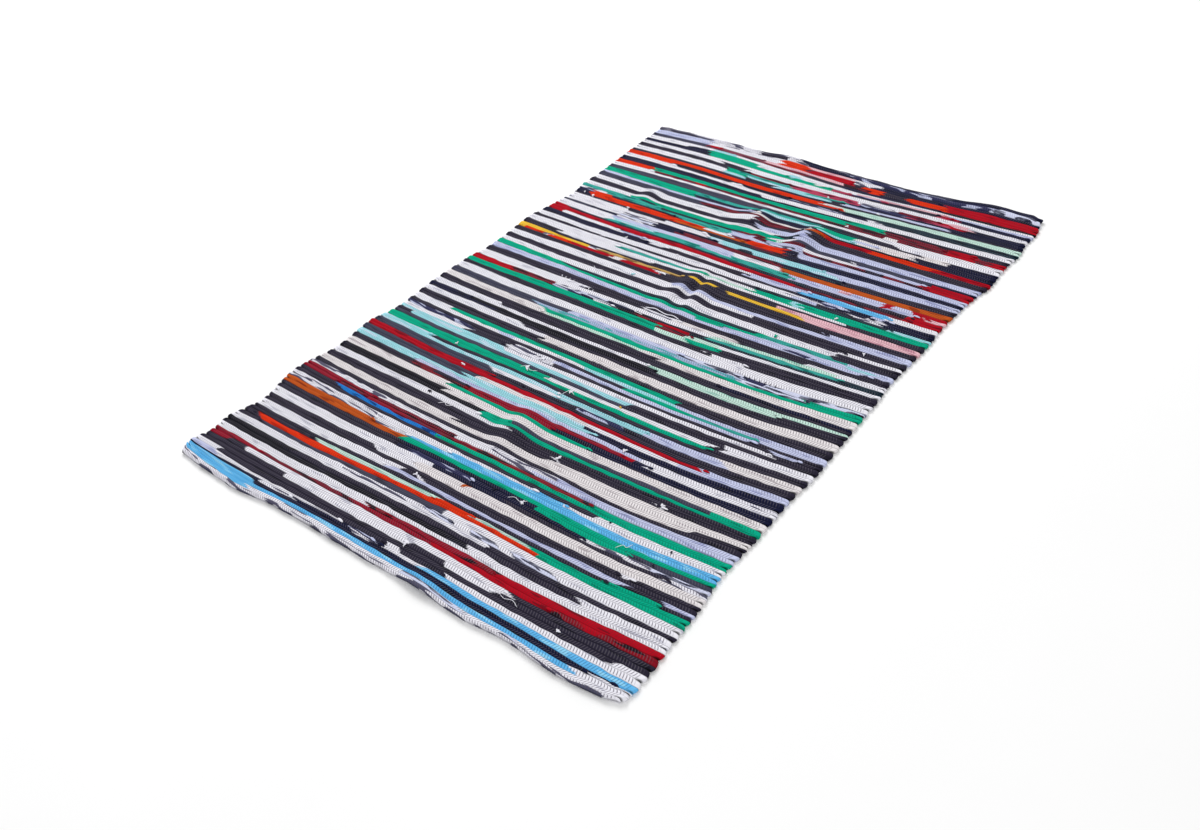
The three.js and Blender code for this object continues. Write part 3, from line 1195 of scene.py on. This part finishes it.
# %% [markdown]
# A rag shows slivers of its other side where it is twisted, and soft streaks where it is creased. Both run
# along the pick, so their noise is stretched along the warp count. The slivers lean, as a twist does.

# %% The rag weave: flecks and streaks
SLIVER_RISE = (0.66, 0.7)
SLIVER_GAIN = 0.3
STREAK_RISE = (0.5, 0.8)
STREAK_GAIN = 0.2
STREAK_STRENGTH = 0.35
END_EDGE = (0.1, 0.3)
END_GAIN = 0.06
leaning = [warp_count * 0.05 + pick_count * 0.45, pick_count * 1.4, 0.0]
in_slivers = cloth.node("CombineXYZ", None, leaning).outputs[0]
slivers = cloth.noise(in_slivers, 1.0, 1.0, 0.4)
streaks = cloth.noise(cloth.stretched(counts, (0.12, 2.4, 1)), 1.0, 3.0, 0.6)
# At the two ends more flecks show where the cloth rolls down to the floor: a broken line that is partly a dark
# thread and partly painted shade under the rolled edge.
from_end = pick_count.maths("MINIMUM", PICKS - pick_count)
at_end = 1 - from_end.between(*END_EDGE)
fleck_mask = (slivers + fleck_share * SLIVER_GAIN + at_end * END_GAIN).between(*SLIVER_RISE)
streak_mask = (streaks + fleck_share * STREAK_GAIN).between(*STREAK_RISE) * STREAK_STRENGTH
weave_colour = cloth.mix(fleck_mask.maths("MAXIMUM", streak_mask), rag_colour, fleck_colour)
weave_colour = cloth.mix(tick_strength, weave_colour, thread_and_groove_shade)
print("the most flecked yarn has a share of", max(row[2] for row in YARNS.values()))

# %% [markdown]
# Little light gets down between two ribs or two loops, and years of feet leave soft patches. So the valleys,
# the gaps and a slow noise darken the colour. The bump has creases along the rags, and fibres anywhere.

# %% The rag weave: shade and bump
VALLEY_RISE = (0.02, 0.4)
VALLEY_SHADE = 0.46
GAP_RISE = (0.1, 0.5)
GAP_WARPS = (0.0, 4.0)
GAP_SHADE = 0.85
WEAR_SHADE = 0.16
PLAIN_SHADE = 0.92
FULL_SHADE = 1.2


def gap_at(pick_number, from_edge):
    """Where the edge draws in between two loops of a selvedge."""
    loop = (pick_number * (math.pi / 2)).maths("SINE").maths("ABSOLUTE")
    return (1 - loop.between(*GAP_RISE)) * (1 - from_edge.between(*GAP_WARPS))


gap = gap_at(pick_count, to_left).maths("MAXIMUM", gap_at(pick_count + 1.0, to_right))
valley = 1 - crown.between(*VALLEY_RISE)
wear = cloth.noise(in_cloth, 60.0, 3.0, 0.6)
shade = (wear * WEAR_SHADE + PLAIN_SHADE - valley * VALLEY_SHADE) * (1 - gap * GAP_SHADE)
weave_colour = cloth.mix(1.0, weave_colour, shade.maths("MINIMUM", FULL_SHADE), "MULTIPLY")
cloth.put(cloth.shader.inputs["Base Color"], weave_colour)

creases = cloth.noise(cloth.stretched(counts, (0.35, 3.0, 1)), 1.0, 3.0, 0.6)
fibres = cloth.noise(in_cloth, 1400.0, 2.0, 0.6)
cloth.bump(0.55, 0.9 * MM, creases * 0.7 + fibres * 0.18)
cloth.put(cloth.shader.inputs["Roughness"], wear * 0.12 + 0.84)
cloth.matt(sheen=0.015, specular=0.06)
for band in bands:
    band.data.materials.append(cloth.material)
print(len(cloth.tree.nodes), "nodes in the rag weave")

# %% [markdown]
# The loose ends have no warp over them, so they show bare cotton: soft streaks, folds painted as patches of
# shade, and fibres. They have no thread map either, so their noise reads the object's own places.

# %% The loose rag
bare = Finish("loose_rag")
bare_rag, _ = bare.corner_colour("Rag")
bare_fleck, _ = bare.corner_colour("Fleck")
in_ends = bare.object_places()
bare_streaks = bare.noise(bare.stretched(in_ends, (220, 700, 400)), 1.0, 3.0, 0.6)
bare_folds = bare.noise(in_ends, 260.0, 2.0, 0.5)
bare_fibres = bare.noise(in_ends, 1500.0, 2.0, 0.6)
bare_colour = bare.mix(bare_streaks.between(0.45, 0.75) * 0.5, bare_rag, bare_fleck)
# Painted shade of folds: a noise darkens the colour in soft patches and lightens it between them.
bare_colour = bare.mix(1.0, bare_colour, bare_folds * 0.3 + 0.85, "MULTIPLY")
bare.put(bare.shader.inputs["Base Color"], bare_colour)
bare.bump(0.5, 0.6 * MM, bare_streaks * 0.6 + bare_fibres * 0.25)
bare.put(bare.shader.inputs["Roughness"], bare_folds * 0.12 + 0.84)
bare.matt(sheen=0.03, specular=0.06)
loose_mesh.materials.append(bare.material)
print(len(bare.tree.nodes), "nodes in the loose rag")

# %% [markdown]
# The bands stand in for the imported solid and ride on its body. The loose ends ride on it as well.

# %% Riding and standing in
for band, (first, last) in zip(bands, zip(BANDS, BANDS[1:])):
    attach(band, "root")
    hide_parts("rug")
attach(loose_ends, "root")
print(len(bands), "bands declared")

# %% [markdown]
# The floor is plain and pale, like the white ground of a product photo, and so wide that its edge is far
# from the rug.

# %% Floor
FLOOR_HALF = 40
FLOOR_UNDER = 0.5 * MM
ground = Finish("pale_floor")
floor_mottle = ground.noise(ground.object_places(), 3.0, 3.0, 0.5)
floor_colour = ground.mix(floor_mottle, (0.9, 0.9, 0.9, 1), (0.93, 0.93, 0.93, 1))
ground.put(ground.shader.inputs["Base Color"], floor_colour)
ground.put(ground.shader.inputs["Roughness"], floor_mottle * 0.1 + 0.8)
bm = bmesh.new()
bmesh.ops.create_grid(bm, x_segments=8, y_segments=8, size=FLOOR_HALF)
floor_mesh = bpy.data.meshes.new("floor")
bm.to_mesh(floor_mesh)
bm.free()
floor_mesh.materials.append(ground.material)
floor = add_object("floor", floor_mesh)
floor.location.z = -FLOOR_UNDER
print("floor", 2 * FLOOR_HALF, "m square")

# %% [markdown]
# A product photo is lit by large soft lamps. A broad lamp at the back left shapes the ribs and the
# wrinkles, a weaker one at the front right opens the shadows, and a white sky fills the rest. A sun would
# be simpler, but the photo has no hard shadows.

# %% Light
SKY_STRENGTH = 0.62


def soft_lamp(name, place, size, watts):
    """A square lamp turned to the middle of the rug."""
    lamp = bpy.data.lights.new(name, "AREA")
    lamp.shape = "SQUARE"
    lamp.size = size
    lamp.energy = watts
    lamp_object = add_object(name, lamp)
    lamp_object.location = place
    lamp_object.rotation_euler = Vector(place).to_track_quat("Z", "Y").to_euler()


soft_lamp("window_lamp", (-2.2, 1.6, 2.8), size=2.0, watts=105)
soft_lamp("fill_lamp", (2.0, -2.4, 3.0), size=2.5, watts=35)
sky = bpy.data.worlds.new("sky")
sky.use_nodes = True
background = sky.node_tree.nodes["Background"]
background.inputs["Color"].default_value = (1, 1, 1, 1)
background.inputs["Strength"].default_value = SKY_STRENGTH
bpy.context.scene.world = sky
bpy.context.scene.view_settings.view_transform = "Standard"
print("two lamps and a white sky")

# %% [markdown]
# The photo was taken by hand from the front right corner, at chest height. The camera's place, turn and lens
# follow from the rug's four corners in the picture.

# %% Camera: metres and degrees
LENS = 33.876
CAMERA_PLACE = (1.024486, -1.342233, 1.143036)
CAMERA_TURN = (51.5565, 4.261, 37.4716)
camera_data = bpy.data.cameras.new("camera")
camera_data.sensor_width = 36
camera_data.lens = LENS
camera_data.clip_start = 0.05
camera_data.clip_end = 50
camera = add_object("camera", camera_data)
camera.location = CAMERA_PLACE
camera.rotation_euler = [math.radians(a) for a in CAMERA_TURN]
bpy.context.scene.camera = camera
print("camera", [round(c, 3) for c in camera.location])
